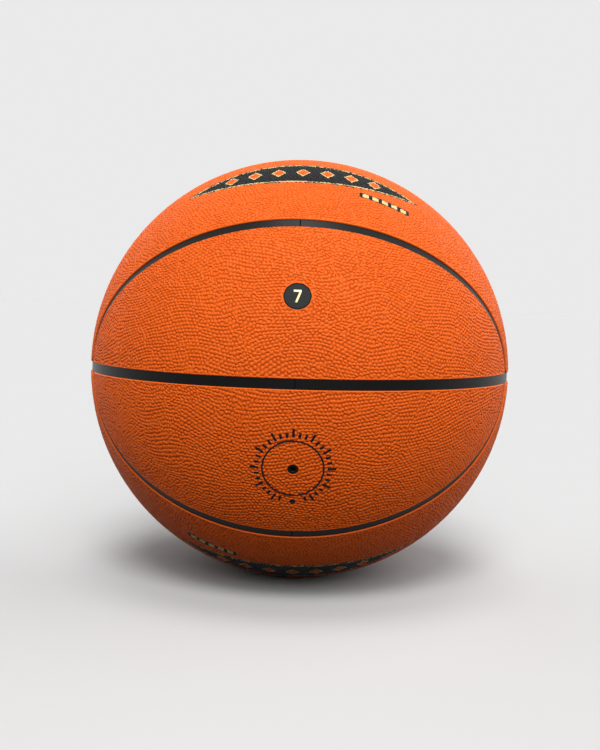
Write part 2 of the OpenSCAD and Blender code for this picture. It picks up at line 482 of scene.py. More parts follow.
# How far a pebble's shoulder lies towards the corners of its cell, and how high it is
SHOULDER_REACH_SHARE = 0.6
SHOULDER_HEIGHT_SHARE = 0.8
# Rounds and strength of the evening out of the pebbles' places
EVENING_ROUNDS = 2
EVENING_SHARE = 0.35
# How far outside a panel its pebbles are still laid out, in millimetres
OVERLAY = 3.5
# Half of the angle that the rows of pebbles cover, in degrees
ROWS_HALF = 29
# Pebbles that each half of a row has to spare
ROW_SPARE = 2
# How far the tops of the pebbles lie below the ball's outer radius, in millimetres
SKIN = 0.02
# Gaps from a wall, in millimetres: that of the nearest pebble point, and that from which on the
# pebbles have their full height
FIRST_PEBBLE = 0.5
FULL_PEBBLE = 0.65
# Angles, in degrees, of the rings that make up the rounding of a rim
RIM_ANGLES = (0, 35, 62)
# Distance between the points of a plain side, and their least gap from its edges, in millimetres
UNDERSIDE_STEP = 6
EDGE_GAP = 1


def rim_insets(radius):
    """Insets of the rings that make up a rim's rounding."""
    return [radius * (1 - math.cos(math.radians(turn))) for turn in RIM_ANGLES]


def lattice(plan, pitch, row):
    """Directions in rows, each row shifted by half a pitch from the last, and each one's row."""
    r = plan.sizes.ball_r
    rows, numbers = [], []
    for k, lat in enumerate(np.arange(-math.radians(ROWS_HALF), math.radians(ROWS_HALF), row / r)):
        step = pitch / (r * math.cos(lat))
        count = int(math.pi / 2 / step) + ROW_SPARE
        lon = (np.arange(-count, count) + k % 2 / 2) * step
        across = np.column_stack((np.sin(lon), np.cos(lon))) * math.cos(lat)
        across = across[:, :1] * plan.right + across[:, 1:] * plan.axis
        rows.append(across + math.sin(lat) * plan.up)
        numbers.append(np.full(len(lon), k))
    return np.vstack(rows), np.concatenate(numbers)


def wander(n, plan, swirl, rng):
    """Moves the directions along the ball without crowding them, so that their rows wander."""
    drift = np.zeros_like(n)
    for _ in range(WAVES):
        wave = rng.normal(size=3)
        turns = 2 * math.pi * plan.sizes.ball_r / rng.uniform(WAVE_SHORT, WAVE_LONG)
        wave *= turns / np.linalg.norm(wave)
        slope = np.cos(n @ wave + rng.uniform(0, 2 * math.pi))[:, None] * unit(wave)
        drift += np.cross(n, slope)
    return unit(n + drift * swirl / plan.sizes.ball_r / math.sqrt(WAVES / 2))


def pebble_places(plan, look, rng):
    """Directions of the pebbles' tops, also a little outside the panel, and the row of each."""
    n, rows = lattice(plan, look.pitch, look.row)
    n = wander(n, plan, look.swirl, rng)
    n = unit(n + rng.normal(size=n.shape) * look.pitch * PLACE_DISORDER_SHARE / plan.sizes.ball_r)
    near = plan.wall_gap(n) > -OVERLAY
    n, rows = n[near], rows[near]
    for _ in range(EVENING_ROUNDS):
        faces = flat_triangles(plan.flatten(n), [])
        total, share = np.zeros_like(n), np.zeros(len(n))
        for a, b in ((0, 1), (1, 2), (2, 0), (1, 0), (2, 1), (0, 2)):
            np.add.at(total, faces[:, a], n[faces[:, b]])
            np.add.at(share, faces[:, a], 1)
        inner = plan.wall_gap(n) > -OVERLAY / 2
        moved = unit(n + (total / np.maximum(share, 1)[:, None] - n) * EVENING_SHARE)
        n = np.where(inner[:, None], moved, n)
    return n, rows


def shared_edges(faces):
    """Pairs of triangles that share an edge, and the two ends of that edge."""
    edges = np.sort(np.vstack((faces[:, [0, 1]], faces[:, [1, 2]], faces[:, [2, 0]])), axis=1)
    owners = np.tile(np.arange(len(faces)), 3)
    order = np.lexsort((edges[:, 1], edges[:, 0]))
    edges, owners = edges[order], owners[order]
    same = (edges[1:] == edges[:-1]).all(axis=1)
    return np.column_stack((owners[:-1][same], owners[1:][same])), edges[1:][same]


def pebbles(plan, look, rng):
    """Directions, heights from 0 to 1 and valley edges of the pebbles' points."""
    tops, rows = pebble_places(plan, look, rng)
    faces = flat_triangles(plan.flatten(tops), [])
    swell = 1 - np.abs(rng.normal(size=len(tops))) * HEIGHT_DISORDER_SHARE
    corners = unit(tops[faces].mean(axis=1))
    shoulders = unit(tops[faces] + (corners[:, None] - tops[faces]) * SHOULDER_REACH_SHARE)
    valleys, ends = shared_edges(faces)
    share = np.where(rows[ends[:, 0]] == rows[ends[:, 1]], LINKS_ALONG, LINKS_ACROSS)
    linked = rng.random(len(ends)) < share
    bridges = unit(tops[ends[linked]].mean(axis=1))
    across = corners[valleys[:, 0]] - corners[valleys[:, 1]]
    apart = np.linalg.norm(across, axis=1) * plan.sizes.ball_r
    valleys = valleys[(apart < look.pitch) & ~linked]
    n = np.vstack((corners, tops, shoulders.reshape(-1, 3), bridges))
    pits = rng.random(len(corners)) ** PIT_POWER * PIT_SHARE
    slopes = swell[faces].ravel() * SHOULDER_HEIGHT_SHARE
    crossings = swell[ends[linked]].min(axis=1) * BRIDGE_SHARE
    return n, np.concatenate((pits, swell, slopes, crossings)), valleys


def underside(shell, outer, drop_ring):
    """Closes a cover below: its edge is turned down to the carcass round the pad."""
    plan, sizes = shell.plan, shell.plan.sizes
    foot_r = PAD_R - sizes.pad_t
    turned = plan.ring(sizes.cover_t)
    foot = shell.add(plan.edge, foot_r, under=True)
    heel = shell.add(turned, foot_r, under=True)
    ledge = shell.add(turned, PAD_R, under=True)
    within, _ = lattice(plan, UNDERSIDE_STEP, UNDERSIDE_STEP)
    clear = plan.wall_gap(within) > sizes.cover_t + EDGE_GAP
    within = shell.add(within[clear & (plan.hole_gap(within) > EDGE_GAP)], PAD_R, under=True)
    shell.wall(outer, foot)
    shell.wall(foot, heel)
    shell.wall(heel, ledge)
    rings = [ledge] if drop_ring is None else [ledge, drop_ring]
    shell.fill(rings, [within], downward=True, hole=drop_ring is not None)


def cover_shell(plan, look, seed, pocket_r=None):
    """A cover panel with its pebbles, its rounded rim and its hole or pocket."""
    rng = np.random.default_rng(seed)
    shell = Shell(plan)
    surface = plan.sizes.ball_r - SKIN
    rims = [
        shell.add(plan.ring(k), surface - rounding_drop(k, look.rim_r), relief=1)
        for k in rim_insets(look.rim_r)
    ]
    for lower, upper in zip(rims, rims[1:]):
        shell.wall(upper, lower)
    holes = []
    if plan.hole_r:
        holes = [
            shell.add(plan.hole_ring(k), surface - rounding_drop(k, look.hole_rim_r), relief=1)
            for k in rim_insets(look.hole_rim_r)
        ]
        for lower, upper in zip(holes, holes[1:]):
            shell.wall(upper, lower, outward=False)

    n, high, valleys = pebbles(plan, look, rng)
    gap, hole_gap = plan.wall_gap(n), plan.hole_gap(n)
    kept = (gap > FIRST_PEBBLE) & (hole_gap > look.hole_rim_r)
    number = np.cumsum(kept) - 1
    valleys = number[valleys[(kept & (hole_gap > FULL_PEBBLE))[valleys].all(axis=1)]]
    n, high, gap, hole_gap = n[kept], high[kept], gap[kept], hole_gap[kept]
    grown = smooth_step(gap / FULL_PEBBLE) * smooth_step(hole_gap / FULL_PEBBLE)
    drop = rounding_drop(gap, look.rim_r) + (1 - high) * grown * look.height
    field = shell.add(n, surface - drop, relief=1 - (1 - high) * grown)
    shell.fill([rims[-1]] + holes[-1:], [field], [field[valleys]], hole=bool(holes))

    drop_ring = None
    if holes:
        drop_ring = shell.add(plan.hole_ring(0), pocket_r or PAD_R, under=True)
        shell.wall(holes[0], drop_ring, outward=False)
    if pocket_r:
        shell.fill([drop_ring])
        drop_ring = None
    underside(shell, rims[0], drop_ring)
    return shell


def front_plan(settings, hole_lat=0, hole_r=0):
    """The outline of a panel at the pole, with its hole."""
    return Plan(settings.sizes, False, hole_lat, hole_r)


# The foam pads under the covers

# The room left round a pad, the rounding of its edges, and the distance between its points, in
# millimetres
PAD_ROOM = 0.05
PAD_EDGE_R = 0.5
PAD_STEP = 5


def pad_shell(plan):
    """A foam pad with rounded edges, in the room under its cover."""
    shell = Shell(plan)
    start = plan.sizes.cover_t + PAD_ROOM
    top, bottom = PAD_R - PAD_ROOM, PAD_R - plan.sizes.pad_t + PAD_ROOM
    uppers, lowers = [], []
    for k in rim_insets(PAD_EDGE_R):
        ring, drop = plan.ring(start + k), rounding_drop(k, PAD_EDGE_R)
        uppers.append(shell.add(ring, top - drop))
        lowers.append(shell.add(ring, bottom + drop, under=True))
    for k in range(len(uppers) - 1):
        shell.wall(uppers[k + 1], uppers[k])
        shell.wall(lowers[k], lowers[k + 1])
    shell.wall(uppers[0], lowers[0])
    rings = [[uppers[-1]], [lowers[-1]]]
    if plan.hole_r:
        hole = plan.hole_ring(PAD_ROOM)
        rings[0].append(shell.add(hole, top))
        rings[1].append(shell.add(hole, bottom, under=True))
        shell.wall(rings[0][1], rings[1][1], outward=False)
    within, _ = lattice(plan, PAD_STEP, PAD_STEP)
    clear = plan.wall_gap(within) > start + EDGE_GAP
    within = within[clear & (plan.hole_gap(within) > EDGE_GAP)]
    for side, height in enumerate((top, bottom)):
        inner = shell.add(within, height, under=side == 1)
        shell.fill(rings[side], [inner], downward=side == 1, hole=plan.hole_r > 0)
    return shell


# Solids turned about an axis: the valve, the badge and the winding

# Steps round a turned solid, in a rounded corner of its profile, and across a flange and a disc
TURN_STEPS = 72
CORNER_STEPS = 4
FLANGE_STEPS = 6
DISC_STEPS = 8
# Faces that meet at more than this angle, in degrees, keep a sharp edge
SHARP = 40


def rounded(profile):
    """Points of a profile of radius, height and rounding, with its corners rounded."""
    points = []
    for before, here, after in zip(profile[-1:] + profile[:-1], profile, profile[1:] + profile[:1]):
        corner = np.array(here[:2], float)
        if not here[2]:
            points.append(corner)
            continue
        ends = []
        for other in (before, after):
            away = np.array(other[:2], float) - corner
            ends.append(corner + away / np.linalg.norm(away) * here[2])
        for t in np.linspace(0, 1, CORNER_STEPS):
            points.append((1 - t) ** 2 * ends[0] + 2 * t * (1 - t) * corner + t * t * ends[1])
    return points


def turned(points, steps=TURN_STEPS):
    """Places and faces of the solid whose closed profile turns about the upright axis."""
    places, rings = [], []
    for r, h in points:
        count = steps if r > SAME_PLACE else 1
        rings.append(range(len(places), len(places) + count))
        for turn in np.linspace(0, 2 * math.pi, count, endpoint=False):
            places.append((r * math.cos(turn), r * math.sin(turn), h))
    faces = []
    for lower, upper in zip(rings, rings[1:] + rings[:1]):
        for k in range(steps):
            corners = [(lower, k), (lower, k + 1), (upper, k + 1), (upper, k)]
            corners = list(dict.fromkeys(ring[place % len(ring)] for ring, place in corners))
            if len(corners) > 2:
                faces.append(corners)
    return np.array(places), faces


def turned_object(name, points, lat, material, steps=TURN_STEPS):
    """A turned solid whose axis points out of the ball at a latitude."""
    places, faces = turned(points, steps)
    turn = Vector((0, 0, 1)).rotation_difference(Vector(direction(lat))).to_matrix()
    made = new_object(name, places @ np.array(turn).T, faces, material)
    made.data.set_sharp_from_angle(angle=math.radians(SHARP))
    return made


def dome(radius, starts, ends, steps):
    """Points of a profile along a ball of this radius, between two distances from the axis."""
    return [(x, math.sqrt(radius**2 - x**2), 0) for x in np.linspace(starts, ends, steps)]


# Width and depth, in millimetres, of the sloping mouth that leads the needle into its hole
MOUTH_W = 0.35
MOUTH_H = 0.5
# Room between two rubber parts, in millimetres, so that their faces don't share a place
RUBBER_ROOM = 0.02
# Roundings of the stem, in millimetres: its foot, and the outer and inner edge of its top
STEM_FOOT_ROUNDING = 0.5
STEM_TOP_ROUNDING = 0.35
STEM_HOLE_ROUNDING = 0.15
# Roundings of the plug, in millimetres: its foot and lock, its top, and the mouth's brim and foot
PLUG_ROUNDING = 0.2
PLUG_TOP_ROUNDING = 0.15
MOUTH_TOP_ROUNDING = 0.1
MOUTH_FOOT_ROUNDING = 0.15


def stem_profile(v):
    """The valve's stem with its flange and the room for the plug, from below."""
    foot = BLADDER_IN_R - v.reach
    plug_foot = foot + v.floor_t
    lock_foot = plug_foot + v.floor_t
    outer = v.stem_r - RUBBER_ROOM
    flange = dome(BLADDER_IN_R - v.flange_t, outer, v.flange_r, FLANGE_STEPS)
    flange += dome(BLADDER_IN_R - RUBBER_ROOM, v.flange_r, outer, FLANGE_STEPS)
    return [
        (0, foot, 0),
        (outer, foot, STEM_FOOT_ROUNDING),
        *flange,
        (outer, STEM_TOP_R, STEM_TOP_ROUNDING),
        (v.plug_r, STEM_TOP_R, STEM_HOLE_ROUNDING),
        (v.plug_r, lock_foot + v.lock_h, 0),
        (v.lock_r, lock_foot + v.lock_h, 0),
        (v.lock_r, lock_foot, 0),
        (v.plug_r, lock_foot, 0),
        (v.plug_r, plug_foot, 0),
        (0, plug_foot, 0),
    ]


def plug_profile(v):
    """The plug with its locking ring and the needle's hole, from below."""
    foot = BLADDER_IN_R - v.reach + v.floor_t
    lock_foot = foot + v.floor_t
    outer, lock = v.plug_r - RUBBER_ROOM, v.lock_r - RUBBER_ROOM
    foot += RUBBER_ROOM
    top = STEM_TOP_R - RUBBER_ROOM
    return [
        (0, foot, 0),
        (outer, foot, PLUG_ROUNDING),
        (outer, lock_foot + RUBBER_ROOM, 0),
        (lock, lock_foot + RUBBER_ROOM, PLUG_ROUNDING),
        (lock, lock_foot + v.lock_h - RUBBER_ROOM, PLUG_ROUNDING),
        (outer, lock_foot + v.lock_h - RUBBER_ROOM, 0),
        (outer, top, PLUG_TOP_ROUNDING),
        (v.needle_r + MOUTH_W, top, MOUTH_TOP_ROUNDING),
        (v.needle_r, top - MOUTH_H, MOUTH_FOOT_ROUNDING),
        (v.needle_r, foot + v.slit_h, 0),
        (0, foot + v.slit_h, 0),
    ]


# The room round the badge, and its rim: the width of the bead, the rounding of its outer and inner
# edge, and the width and depth of the groove inside it, in millimetres
BADGE_ROOM = 0.04
BEAD_W = 0.45
BEAD_ROUNDING = (0.08, 0.04)
GROOVE_W = 0.3
GROOVE_H = 0.1


def badge_profile(b, face_r):
    """The badge as a disc bent to the ball, with a groove inside its rim, from below."""
    outer = b.disc_r - BADGE_ROOM
    groove = outer - BEAD_W - GROOVE_W
    upper = dome(face_r, groove, 0, DISC_STEPS)
    lower = dome(face_r - b.thickness + BADGE_ROOM, 0, outer, DISC_STEPS)
    bead = dome(face_r, outer, outer - BEAD_W, 2)
    sunk = dome(face_r - GROOVE_H, outer - BEAD_W, groove, 2)
    bead = [(*point[:2], rounding) for point, rounding in zip(bead, BEAD_ROUNDING)]
    return lower + bead + sunk + upper


# Longest step along the numeral's edges, and width of the slope along its rim, in millimetres
FIGURE_STEP = 0.5
FIGURE_SLOPE_W = 0.3
# Part of the numeral's rise at which its slope starts
FIGURE_SLOPE_SHARE = 0.3


def figure_corners(b):
    """Corners of the plain figure seven, turning anticlockwise."""
    x, y, w = b.figure_w / 2, b.figure_h / 2, b.stroke
    corners = [(-x, y), (-x, y - w), (x - w, y - w), (-w, -y), (0, -y), (x, y - w), (x, y)]
    return np.array(corners)


def drawn_in(corners, inset):
    """A closed outline's corners, moved inwards by the inset."""
    along = unit(np.roll(corners, -1, axis=0) - corners)
    inwards = np.column_stack((-along[:, 1], along[:, 0]))
    before = np.roll(inwards, 1, axis=0)
    share = 1 + (inwards * before).sum(axis=1, keepdims=True)
    return corners + (inwards + before) * inset / share


def stepped(corners, counts):
    """A closed outline with each of its edges cut into this many steps."""
    ends = np.roll(corners, -1, axis=0)
    parts = [a + (b - a) * np.arange(n)[:, None] / n for a, b, n in zip(corners, ends, counts)]
    return np.vstack(parts)


def figure_shell(b, plan, face_r):
    """The raised numeral, bent to the ball, with sloping rims."""
    shell = Shell(plan)
    middle = direction(b.lat)
    up = np.cross(middle, plan.right)
    corners = figure_corners(b)
    lengths = np.linalg.norm(np.roll(corners, -1, axis=0) - corners, axis=1)
    counts = np.ceil(lengths / FIGURE_STEP).astype(int)
    rings = []
    for inset, radius in (
        (0, face_r - BADGE_ROOM),
        (0, face_r + b.rise * FIGURE_SLOPE_SHARE),
        (FIGURE_SLOPE_W, face_r + b.rise),
    ):
        flat = stepped(drawn_in(corners, inset), counts)
        rings.append(shell.add(unit(flat @ np.array((plan.right, up)) + middle * face_r), radius))
    foot, brow, crown = rings
    shell.wall(brow, foot)
    shell.wall(crown, brow)
    shell.fill([crown])
    shell.fill([foot], downward=True)
    return shell


# Bundles of thread on the winding: how many, and their width and height in millimetres
BUNDLES = 34
BUNDLE_W = 2.6
BUNDLE_H = 0.22
# Steps from one end of the winding to the other, and half of those round it
WINDING_STEPS = 150


def wound(points, seed):
    """Moves the winding's outer points inwards, save where a bundle of thread lies."""
    rng = np.random.default_rng(seed)
    radii = np.linalg.norm(points, axis=1)
    n = points / radii[:, None]
    ridge = np.zeros(len(points))
    for _ in range(BUNDLES):
        apart = np.abs(n @ unit(rng.normal(size=3))) * WINDING_R
        ridge = np.maximum(ridge, np.sqrt(np.clip(1 - (apart / BUNDLE_W * 2) ** 2, 0, 1)))
    outer = radii > (WINDING_R + BLADDER_R) / 2
    return points * (1 - np.where(outer, (1 - ridge) * BUNDLE_H, 0) / radii)[:, None]


# Materials

# Sockets of a mix node: the share, and the two colours
MIX_SHARE, MIX_A, MIX_B = 0, 6, 7


def linear(hex_colour):
    """The linear colour, with its alpha, of an sRGB colour in six hex digits."""
    digits = hex_colour.lstrip("#")
    parts = [int(digits[k : k + 2], 16) / 255 for k in (0, 2, 4)]
    return [c / 12.92 if c <= 0.04045 else ((c + 0.055) / 1.055) ** 2.4 for c in parts] + [1]


def add(tree, kind, feeds=(), **settings):
    """Adds a node with its settings, feeds its inputs, and returns its first output in use."""
    node = tree.nodes.new(kind)
    for name, value in settings.items():
        setattr(node, name, value)
    for socket, value in (feeds if isinstance(feeds, dict) else dict(enumerate(feeds))).items():
        if isinstance(value, bpy.types.NodeSocket):
            tree.links.new(value, node.inputs[socket])
        else:
            node.inputs[socket].default_value = value
    return next((output for output in node.outputs if output.enabled), node)


def new_material(name):
    """An empty material for a finish, and its node tree."""
    material = bpy.data.materials.new(name)
    material.use_nodes = True
    material.node_tree.nodes.clear()
    return material, material.node_tree


def grain(tree, size_mm, detail=2.0):
    """Noise whose spots have this size on the part, from 0 to 1."""
    coords = add(tree, "ShaderNodeTexCoord").node.outputs["Object"]
    feeds = {"Vector": coords, "Scale": 1 / (size_mm * MM), "Detail": detail}
    return add(tree, "ShaderNodeTexNoise", feeds)


def finished(tree, feeds):
    """Ends a material's tree with a principled shader that takes these feeds."""
    add(tree, "ShaderNodeOutputMaterial", {"Surface": add(tree, "ShaderNodeBsdfPrincipled", feeds)})


def masked(tree, *tests):
    """One where all of the tests are one, and otherwise zero."""
    product = tests[0]
    for test in tests[1:]:
        product = add(tree, MATH, (product, test), operation="MULTIPLY")
    return product


def ball_places(tree):
    """The direction of each place on the ball from its centre."""
    coords = add(tree, "ShaderNodeTexCoord").node.outputs["Object"]
    return add(tree, VECTOR_MATH, (coords,), operation="NORMALIZE")


# Ticks that a whole round of the dial has room for, and every how many of them a long one stands
TICKS = 36
LONG_TICK_EVERY = 3
# Half of the dial's gap at its foot, in degrees
DIAL_GAP = 17
# The plain dot in that gap: its radius, and its distance from the valve, in millimetres
DOT_R = 1.5
DOT_AT = 19


def dial_marks(tree, settings):
    """Masks of the ring and the plain marks round the valve: dark, pale."""
    r, p, lat = settings.sizes.ball_r, settings.prints, math.radians(settings.valve.lat)
    n = ball_places(tree)
    across = add(tree, VECTOR_MATH, (n, (r, 0, 0)), operation="DOT_PRODUCT")
    upwards = (0, -r * math.sin(lat), r * math.cos(lat))
    above = add(tree, VECTOR_MATH, (n, upwards), operation="DOT_PRODUCT")
    flat = add(tree, "ShaderNodeCombineXYZ", (across, above, 0.0))
    out = add(tree, VECTOR_MATH, (flat,), operation="LENGTH")
    ring = add(tree, MATH, (out, p.ring_r, p.ring_w / 2), operation="COMPARE")
    # The turn from straight down, so that the gap is where it is zero
    down = add(tree, MATH, (above, -1.0), operation="MULTIPLY")
    turn = add(tree, MATH, (across, down), operation="ARCTAN2")
    shown = add(tree, MATH, (turn,), operation="ABSOLUTE")
    shown = add(tree, MATH, (shown, math.radians(DIAL_GAP)), operation="GREATER_THAN")
    marks = [ring]
    for count, reach in ((TICKS, p.tick_short), (TICKS / LONG_TICK_EVERY, p.tick_long)):
        step = 2 * math.pi / count
        beside = add(tree, MATH, (turn, step / 2, -step / 2), operation="WRAP")
        beside = add(tree, MATH, (beside, out), operation="MULTIPLY")
        narrow = add(tree, MATH, (beside, 0.0, p.tick_w / 2), operation="COMPARE")
        near = add(tree, MATH, (out, p.tick_start + reach / 2, reach / 2), operation="COMPARE")
        marks.append(masked(tree, narrow, near, shown))
    apart = add(tree, VECTOR_MATH, (flat, (0, -DOT_AT, 0)), operation="DISTANCE")
    marks.append(add(tree, MATH, (apart, DOT_R), operation="LESS_THAN"))
    dark = marks[0]
    for mark in marks[1:]:
        dark = add(tree, MATH, (dark, mark), operation="MAXIMUM")
    return dark, None


# The diamonds on a band: half their width and height, and their line, in millimetres
DIAMOND_HALF_W = 3.6
DIAMOND_HALF_H = 5.0
DIAMOND_LINE = 0.75
# How far from the band's middle diamonds go, in millimetres
DIAMONDS_TO = 45.5
# The short row of bars beside the band, in millimetres: its ends, its middle line, half of its
# height, half of a bar's width, the bars' pitch, and the dark edge round the row
BARS_FROM, BARS_TO = 31, 58
BARS_AT = -17.5
BARS_HALF_H = 1.7
BARS_HALF_W = 1.7
BARS_PITCH = 5.4
BARS_EDGE = 0.7


def band_marks(tree, settings):
    """Masks of the plain band with its diamonds, and of the bars below it: dark, pale."""
    r, p, lat = settings.sizes.ball_r, settings.prints, math.radians(settings.prints.band_lat)
    n = ball_places(tree)
    parts = add(tree, "ShaderNodeSeparateXYZ", (n,)).node.outputs
    side = add(tree, MATH, (parts["Z"],), operation="SIGN")
    height = add(tree, MATH, (parts["Z"],), operation="ABSOLUTE")
    s = add(tree, MATH, (parts["X"],), operation="ARCSINE")
    s = add(tree, MATH, (s, side), operation="MULTIPLY")
    s = add(tree, MATH, (s, r), operation="MULTIPLY")
    t = add(tree, MATH, (parts["Y"], math.sin(lat)), operation="MULTIPLY")
    t = add(tree, MATH, (height, math.cos(lat), t), operation="MULTIPLY_ADD")
    t = add(tree, MATH, (t,), operation="ARCSINE")
    t = add(tree, MATH, (t, r), operation="MULTIPLY")
    off = add(tree, MATH, (t,), operation="ABSOLUTE")
    bend = add(tree, MATH, (s, s), operation="MULTIPLY")
    feeds = (bend, -p.band_half_w / p.band_half_l**2, p.band_half_w)
    half = add(tree, MATH, feeds, operation="MULTIPLY_ADD")
    depth = add(tree, MATH, (half, off), operation="SUBTRACT")
    band = add(tree, MATH, (depth, 0.0), operation="GREATER_THAN")
    # The pale line lies as far inside the band's edge as it is wide
    edge = add(tree, MATH, (depth, p.edge_line * 3 / 2, p.edge_line / 2), operation="COMPARE")
    beside = add(tree, MATH, (s, p.diamond_pitch / 2), operation="ADD")
    beside = add(tree, MATH, (beside, p.diamond_pitch, 0.0), operation="WRAP")
    beside = add(tree, MATH, (beside, p.diamond_pitch / 2), operation="SUBTRACT")
    beside = add(tree, MATH, (beside,), operation="ABSOLUTE")
    lean = DIAMOND_HALF_W / DIAMOND_HALF_H
    reach = add(tree, MATH, (off, lean, beside), operation="MULTIPLY_ADD")
    shown = add(tree, MATH, (s, 0.0, DIAMONDS_TO), operation="COMPARE")
    diamond = add(tree, MATH, (reach, DIAMOND_HALF_W), operation="LESS_THAN")
    rim = add(tree, MATH, (reach, DIAMOND_HALF_W, DIAMOND_LINE / 2), operation="COMPARE")
    diamond, rim = masked(tree, diamond, shown), masked(tree, rim, shown)

    middle, reach = (BARS_FROM + BARS_TO) / 2, (BARS_TO - BARS_FROM) / 2
    cell = add(tree, MATH, (s, BARS_FROM), operation="SUBTRACT")
    cell = add(tree, MATH, (cell, BARS_PITCH, 0.0), operation="WRAP")
    bars = masked(
        tree,
        add(tree, MATH, (cell, BARS_PITCH / 2, BARS_HALF_W), operation="COMPARE"),
        add(tree, MATH, (s, middle, reach), operation="COMPARE"),
        add(tree, MATH, (t, BARS_AT, BARS_HALF_H), operation="COMPARE"),
    )
    plate = masked(
        tree,
        add(tree, MATH, (s, middle, reach + BARS_EDGE), operation="COMPARE"),
        add(tree, MATH, (t, BARS_AT, BARS_HALF_H + BARS_EDGE), operation="COMPARE"),
    )
    open_band = add(tree, MATH, (band, diamond), operation="SUBTRACT")
    dark = add(tree, MATH, (open_band, plate), operation="MAXIMUM")
    pale = add(tree, MATH, (edge, rim), operation="MAXIMUM")
    pale = add(tree, MATH, (pale, bars), operation="MAXIMUM")
    return dark, pale


# The cover's fine tooth: its size and height in millimetres, and how strongly it shows
TOOTH_MM = 0.3
TOOTH_H = 0.05
TOOTH_STRENGTH = 0.25
# The cover's cloudiness: its size in millimetres, and how dark and how pale it gets
CLOUD_MM = 14
CLOUD_DARK, CLOUD_PALE = 0.93, 1.05
# Roughness in a valley and on a top
VALLEY_ROUGH, TOP_ROUGH = 0.8, 0.42
# Gloss of the finishes that reflect little, as the shader's specular level
DULL = 0.1
# Relief below which the valley's colour, which is painted shade, is plain, and above which the
# top's is
VALLEY_FROM, VALLEY_TO = 0.05, 0.8
# Share of the pebbles' height that the shading adds, for the creases that the mesh rounds off
CREASE_SHARE = 0.4


def pebbled_composite(name, settings, marks=None):
    """Microfibre composite, embossed and printed: satin, slightly cloudy, with painted shade in its
    valleys.
    """
    material, tree = new_material(name)
    look = settings.cover
    relief = add(tree, "ShaderNodeAttribute", attribute_name="relief").node.outputs["Fac"]
    feeds = {"Value": relief, "From Min": VALLEY_FROM, "From Max": VALLEY_TO}
    top = add(tree, "ShaderNodeMapRange", feeds, interpolation_type="SMOOTHSTEP")
    # Painted shade: the colour darkens from the pebbles' tops down into the valleys between them
    feeds = {MIX_SHARE: top, MIX_A: linear(look.valley), MIX_B: linear(look.orange)}
    shade = add(tree, MIX, feeds, data_type="RGBA")
    feeds = {"Value": grain(tree, CLOUD_MM), "To Min": CLOUD_DARK, "To Max": CLOUD_PALE}
    cloud = add(tree, "ShaderNodeMapRange", feeds)
    shade = add(tree, VECTOR_MATH, {0: shade, "Scale": cloud}, operation="SCALE")
    if marks:
        dark, pale = marks(tree, settings)
        feeds = {MIX_SHARE: dark, MIX_A: shade, MIX_B: linear(look.ink)}
        shade = add(tree, MIX, feeds, data_type="RGBA")
        if pale:
            feeds = {MIX_SHARE: pale, MIX_A: shade, MIX_B: linear(look.foil)}
            shade = add(tree, MIX, feeds, data_type="RGBA")
    feeds = {"Height": grain(tree, TOOTH_MM), "Strength": TOOTH_STRENGTH, "Distance": TOOTH_H * MM}
    tooth = add(tree, "ShaderNodeBump", feeds)
    crease_h = settings.pebbles.height * CREASE_SHARE * MM
    crease = add(tree, "ShaderNodeBump", {"Height": relief, "Distance": crease_h, "Normal": tooth})
    feeds = {"Value": top, "To Min": VALLEY_ROUGH, "To Max": TOP_ROUGH}
    rough = add(tree, "ShaderNodeMapRange", feeds)
    feeds = {"Base Color": shade, "Roughness": rough, "Normal": crease, "Specular IOR Level": DULL}
    finished(tree, feeds)
    return material


# Moulded rubbers: colour, roughness, size of the grain in millimetres, and gloss
RUBBERS = {
    "moulded_carcass_rubber": ("#050505", 0.32, 0.35, 0.13),
    "moulded_butyl": ("#2C2C2F", 0.35, 0.8, DULL),
    "moulded_valve_rubber": ("#0A0A0A", 0.45, 0.4, DULL),
}
# The grain of a blasted mould: its detail, how strongly it shows, its height in millimetres, how
# dark and how pale it gets, and how it changes the roughness
BLAST_DETAIL = 3.0
BLAST_STRENGTH = 0.35
BLAST_H = 0.06
BLAST_DARK, BLAST_PALE = 0.75, 1.3
BLAST_SMOOTHER, BLAST_ROUGHER = 0.05, 0.08
# The line that the carcass's mould leaves: half of its width and its height, in millimetres
SEAM_HALF_W = 0.3
SEAM_H = 0.12


def moulded_rubber(name, seam=False):
    """Filled rubber from a blasted mould: near black, with a dull sheen where it faces a lamp."""
    material, tree = new_material(name)
    shade, roughness, grain_mm, gloss = RUBBERS[name]
    fine = grain(tree, grain_mm, BLAST_DETAIL)
    feeds = {"Height": fine, "Strength": BLAST_STRENGTH, "Distance": BLAST_H * MM}
    normal = add(tree, "ShaderNodeBump", feeds)
    feeds = {"Value": fine, "To Min": BLAST_DARK, "To Max": BLAST_PALE}
    tone = add(tree, "ShaderNodeMapRange", feeds)
    shade = add(tree, VECTOR_MATH, {0: linear(shade)[:3], "Scale": tone}, operation="SCALE")
    low, high = roughness - BLAST_SMOOTHER, roughness + BLAST_ROUGHER
    rough = add(tree, "ShaderNodeMapRange", {"Value": fine, "To Min": low, "To Max": high})
    if seam:
        coords = add(tree, "ShaderNodeTexCoord").node.outputs["Object"]
        side = add(tree, "ShaderNodeSeparateXYZ", (coords,)).node.outputs["X"]
        line = add(tree, MATH, (side, 0.0, SEAM_HALF_W * MM), operation="COMPARE")
        feeds = {"Height": line, "Distance": SEAM_H * MM, "Normal": normal}
        normal = add(tree, "ShaderNodeBump", feeds)
        rough = add(tree, MATH, (rough, line), operation="MAXIMUM")
    feeds = {"Base Color": shade, "Roughness": rough, "Normal": normal, "Specular IOR Level": gloss}
    finished(tree, feeds)
    return material


# The foam's cells: their size and depth in millimetres, how strongly they show, and the colours
# of their middles and of the walls between them
CELL_MM = 0.5
CELL_H = 0.15
CELL_STRENGTH = 0.5
CELL_DARK, CELL_PALE = "#CFC6AE", "#EDE6D3"
FOAM_ROUGH = 0.9
FOAM_GLOSS = 0.3
